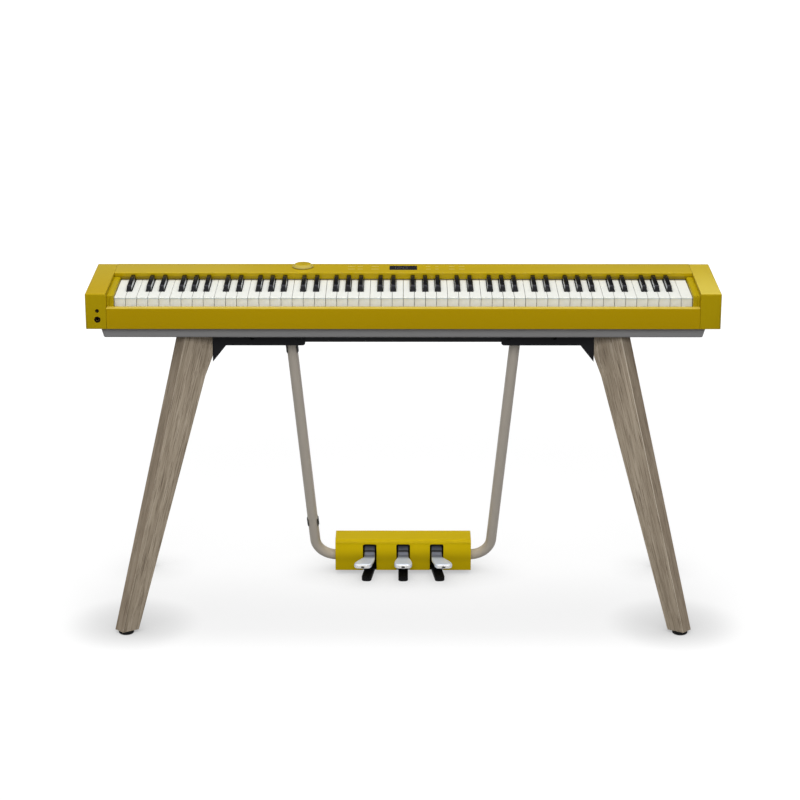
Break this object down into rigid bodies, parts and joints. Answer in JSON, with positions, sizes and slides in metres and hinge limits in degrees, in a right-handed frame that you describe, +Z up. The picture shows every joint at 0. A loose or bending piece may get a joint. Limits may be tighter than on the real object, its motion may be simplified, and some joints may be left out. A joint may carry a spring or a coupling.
{
  "type": "digital piano on stand",
  "caption": "Slim digital piano with weighted keys on four splayed wooden legs, with a tube-hung three-pedal unit.",
  "frame": {"origin": "on the floor under the middle of the stand", "axes": "+X along the keys to the treble end, +Y from the player to the rear, +Z up"},
  "size_m": [1.34, 0.427, 0.748],
  "materials": {
    "mustard_cover": "glossy mustard, fine-textured on the end blocks",
    "case_grey": "fine matt texture",
    "display_black": "polished dark window",
    "rim_metal": "satin",
    "bright_steel": "plain steel",
    "circuit_board": "solder mask",
    "black_plastic": "moulded",
    "felt": "pressed felt",
    "key_white": "satin, slightly warm white",
    "key_black": "satin, fine texture",
    "leg_wood": "greyed oak, oiled",
    "foot_rubber": "matt",
    "black_steel": "satin powder coat",
    "tube_paint": "satin warm grey",
    "pedal_metal": "polished, slightly brushed"
  },
  "bodies": {
    "instrument": {"bottom_case": "case_grey", "end_block_left": "mustard_cover", "end_block_right": "mustard_cover", "key_cheek_left": "mustard_cover", "key_cheek_right": "mustard_cover", "front_rail": "mustard_cover", "top_panel": "mustard_cover", "rear_cover": "mustard_cover", "speaker_grilles": "mustard_cover", "display_window": "display_black", "dial_encoder": "bright_steel", "panel_board": "circuit_board", "headphone_sockets": "black_plastic", "rear_sockets": "black_plastic", "speakers": "black_plastic", "key_frame": "bright_steel", "pivot_rod": "bright_steel", "key_felt": "felt", "main_board": "circuit_board", "case_screws": "black_steel", "leg_front_left": "leg_wood", "leg_front_right": "leg_wood", "leg_rear_left": "leg_wood", "leg_rear_right": "leg_wood", "leg_glides": "foot_rubber", "bracket_left": "black_steel", "bracket_right": "black_steel", "cross_beam": "black_steel", "leg_bolts": "black_steel", "mounting_screws": "black_steel", "pedal_tube_left": "tube_paint", "pedal_tube_right": "tube_paint", "cable_clips": "black_plastic", "pedal_cover": "mustard_cover", "pedal_base": "black_plastic", "pedal_feet": "foot_rubber", "pedal_shaft": "bright_steel", "pedal_springs": "bright_steel"},
    "naturals_bass": {"naturals_bass": "key_white"},
    "sharps_bass": {"sharps_bass": "key_black"},
    "naturals_treble": {"naturals_treble": "key_white"},
    "sharps_treble": {"sharps_treble": "key_black"},
    "key_c4": {"key_c4": "key_white"},
    "key_c_sharp4": {"key_c_sharp4": "key_black"},
    "key_d4": {"key_d4": "key_white"},
    "key_d_sharp4": {"key_d_sharp4": "key_black"},
    "key_e4": {"key_e4": "key_white"},
    "key_f4": {"key_f4": "key_white"},
    "key_f_sharp4": {"key_f_sharp4": "key_black"},
    "key_g4": {"key_g4": "key_white"},
    "key_g_sharp4": {"key_g_sharp4": "key_black"},
    "key_a4": {"key_a4": "key_white"},
    "key_a_sharp4": {"key_a_sharp4": "key_black"},
    "key_b4": {"key_b4": "key_white"},
    "pedal_left": {"pedal_left": "pedal_metal"},
    "pedal_middle": {"pedal_middle": "pedal_metal"},
    "pedal_right": {"pedal_right": "pedal_metal"},
    "dial": {"dial_knob": "mustard_cover", "dial_rim": "rim_metal"}
  },
  "joints": [
    {"name": "naturals_bass_press", "type": "hinge", "parent": "instrument", "child": "naturals_bass", "pos_m": [0, 0.104, 0.7076], "axis": [1, 0, 0], "range_deg": [0, 2.87], "stiffness_Nm_per_rad": 13, "springref_deg": -17.19},
    {"name": "sharps_bass_press", "type": "hinge", "parent": "instrument", "child": "sharps_bass", "pos_m": [0, 0.104, 0.7076], "axis": [1, 0, 0], "range_deg": [0, 2.87], "stiffness_Nm_per_rad": 11, "springref_deg": -17.19},
    {"name": "naturals_treble_press", "type": "hinge", "parent": "instrument", "child": "naturals_treble", "pos_m": [0, 0.104, 0.7076], "axis": [1, 0, 0], "range_deg": [0, 2.87], "stiffness_Nm_per_rad": 12.5, "springref_deg": -17.19},
    {"name": "sharps_treble_press", "type": "hinge", "parent": "instrument", "child": "sharps_treble", "pos_m": [0, 0.104, 0.7076], "axis": [1, 0, 0], "range_deg": [0, 2.87], "stiffness_Nm_per_rad": 10.5, "springref_deg": -17.19},
    {"name": "key_c4_press", "type": "hinge", "parent": "instrument", "child": "key_c4", "pos_m": [0, 0.104, 0.7076], "axis": [1, 0, 0], "range_deg": [0, 2.87], "stiffness_Nm_per_rad": 0.6, "springref_deg": -17.19},
    {"name": "key_c_sharp4_press", "type": "hinge", "parent": "instrument", "child": "key_c_sharp4", "pos_m": [0, 0.104, 0.7076], "axis": [1, 0, 0], "range_deg": [0, 2.87], "stiffness_Nm_per_rad": 0.6, "springref_deg": -17.19},
    {"name": "key_d4_press", "type": "hinge", "parent": "instrument", "child": "key_d4", "pos_m": [0, 0.104, 0.7076], "axis": [1, 0, 0], "range_deg": [0, 2.87], "stiffness_Nm_per_rad": 0.6, "springref_deg": -17.19},
    {"name": "key_d_sharp4_press", "type": "hinge", "parent": "instrument", "child": "key_d_sharp4", "pos_m": [0, 0.104, 0.7076], "axis": [1, 0, 0], "range_deg": [0, 2.87], "stiffness_Nm_per_rad": 0.6, "springref_deg": -17.19},
    {"name": "key_e4_press", "type": "hinge", "parent": "instrument", "child": "key_e4", "pos_m": [0, 0.104, 0.7076], "axis": [1, 0, 0], "range_deg": [0, 2.87], "stiffness_Nm_per_rad": 0.6, "springref_deg": -17.19},
    {"name": "key_f4_press", "type": "hinge", "parent": "instrument", "child": "key_f4", "pos_m": [0, 0.104, 0.7076], "axis": [1, 0, 0], "range_deg": [0, 2.87], "stiffness_Nm_per_rad": 0.6, "springref_deg": -17.19},
    {"name": "key_f_sharp4_press", "type": "hinge", "parent": "instrument", "child": "key_f_sharp4", "pos_m": [0, 0.104, 0.7076], "axis": [1, 0, 0], "range_deg": [0, 2.87], "stiffness_Nm_per_rad": 0.6, "springref_deg": -17.19},
    {"name": "key_g4_press", "type": "hinge", "parent": "instrument", "child": "key_g4", "pos_m": [0, 0.104, 0.7076], "axis": [1, 0, 0], "range_deg": [0, 2.87], "stiffness_Nm_per_rad": 0.6, "springref_deg": -17.19},
    {"name": "key_g_sharp4_press", "type": "hinge", "parent": "instrument", "child": "key_g_sharp4", "pos_m": [0, 0.104, 0.7076], "axis": [1, 0, 0], "range_deg": [0, 2.87], "stiffness_Nm_per_rad": 0.6, "springref_deg": -17.19},
    {"name": "key_a4_press", "type": "hinge", "parent": "instrument", "child": "key_a4", "pos_m": [0, 0.104, 0.7076], "axis": [1, 0, 0], "range_deg": [0, 2.87], "stiffness_Nm_per_rad": 0.6, "springref_deg": -17.19},
    {"name": "key_a_sharp4_press", "type": "hinge", "parent": "instrument", "child": "key_a_sharp4", "pos_m": [0, 0.104, 0.7076], "axis": [1, 0, 0], "range_deg": [0, 2.87], "stiffness_Nm_per_rad": 0.6, "springref_deg": -17.19},
    {"name": "key_b4_press", "type": "hinge", "parent": "instrument", "child": "key_b4", "pos_m": [0, 0.104, 0.7076], "axis": [1, 0, 0], "range_deg": [0, 2.87], "stiffness_Nm_per_rad": 0.6, "springref_deg": -17.19},
    {"name": "pedal_left_press", "type": "hinge", "parent": "instrument", "child": "pedal_left", "pos_m": [0, 0.183, 0.056], "axis": [1, 0, 0], "range_deg": [0, 5.83], "stiffness_Nm_per_rad": 12, "springref_deg": -8.59},
    {"name": "pedal_middle_press", "type": "hinge", "parent": "instrument", "child": "pedal_middle", "pos_m": [0, 0.183, 0.056], "axis": [1, 0, 0], "range_deg": [0, 5.83], "stiffness_Nm_per_rad": 12, "springref_deg": -8.59},
    {"name": "pedal_right_press", "type": "hinge", "parent": "instrument", "child": "pedal_right", "pos_m": [0, 0.183, 0.056], "axis": [1, 0, 0], "range_deg": [0, 5.83], "stiffness_Nm_per_rad": 12, "springref_deg": -8.59},
    {"name": "dial_turn", "type": "hinge", "parent": "instrument", "child": "dial", "pos_m": [-0.219, 0.09231, 0.742], "axis": [0, 0, 1], "continuous": true}
  ]
}
